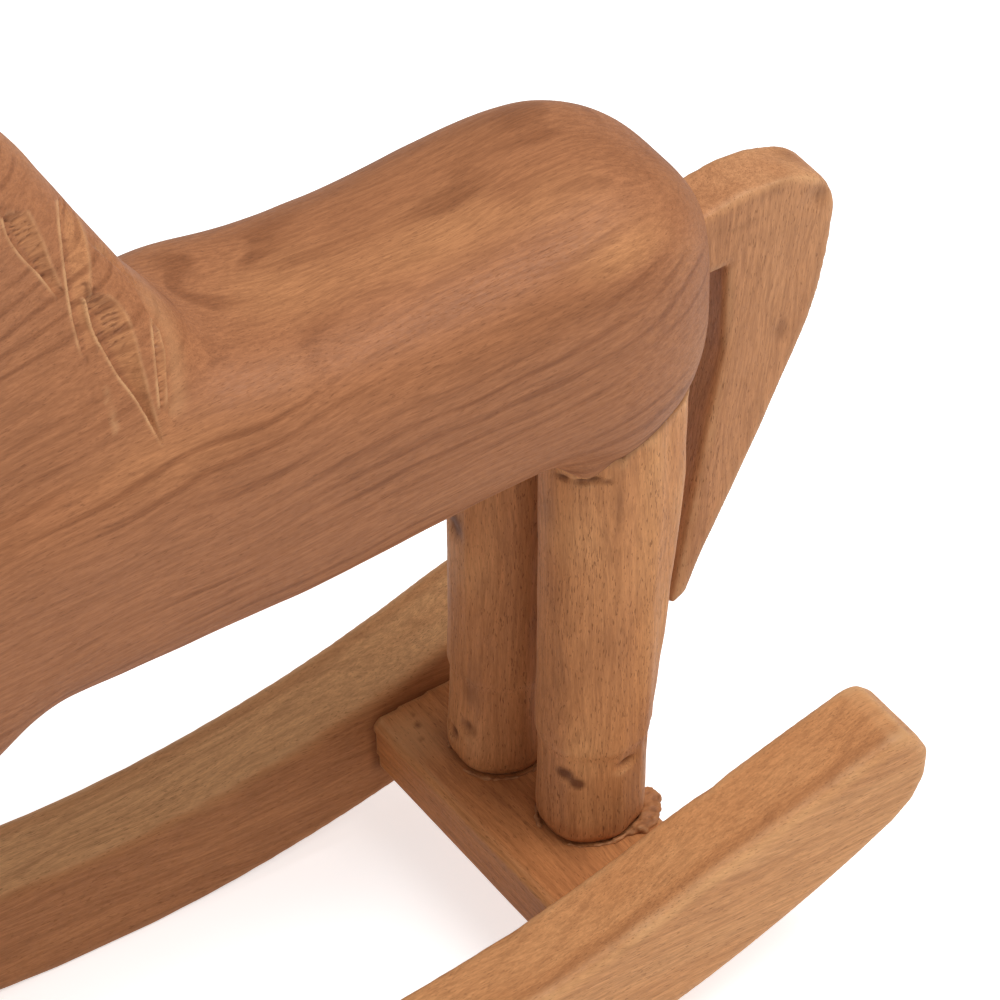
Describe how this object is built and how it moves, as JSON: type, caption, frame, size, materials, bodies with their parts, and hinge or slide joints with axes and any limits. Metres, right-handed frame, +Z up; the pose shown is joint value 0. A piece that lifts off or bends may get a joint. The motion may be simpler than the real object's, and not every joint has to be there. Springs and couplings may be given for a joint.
{
  "type": "rocking horse figurine",
  "caption": "Hand-carved wooden rocking horse ornament: a chunky horse with a gouged mane and a flat board tail, on peg legs and two curved rockers.",
  "frame": {"origin": "on the floor, under the middle of the rockers and of the horse's width", "axes": "+Z up, -X towards the horse's head, +X towards its tail, -Y towards its left side"},
  "size_m": [0.3465, 0.125, 0.3648],
  "materials": {
    "body_wood": "satin",
    "tail_wood": "satin",
    "leg_wood": "satin",
    "board_wood": "satin",
    "rocker_wood": "satin"
  },
  "bodies": {
    "root": {"carved_body": "body_wood", "tail": "tail_wood", "hind_leg_left": "leg_wood", "hind_leg_right": "leg_wood", "fore_leg_left": "leg_wood", "fore_leg_right": "leg_wood", "rear_cross_board": "board_wood", "front_cross_board": "board_wood", "left_rocker": "rocker_wood", "right_rocker": "rocker_wood"}
  },
  "joints": []
}
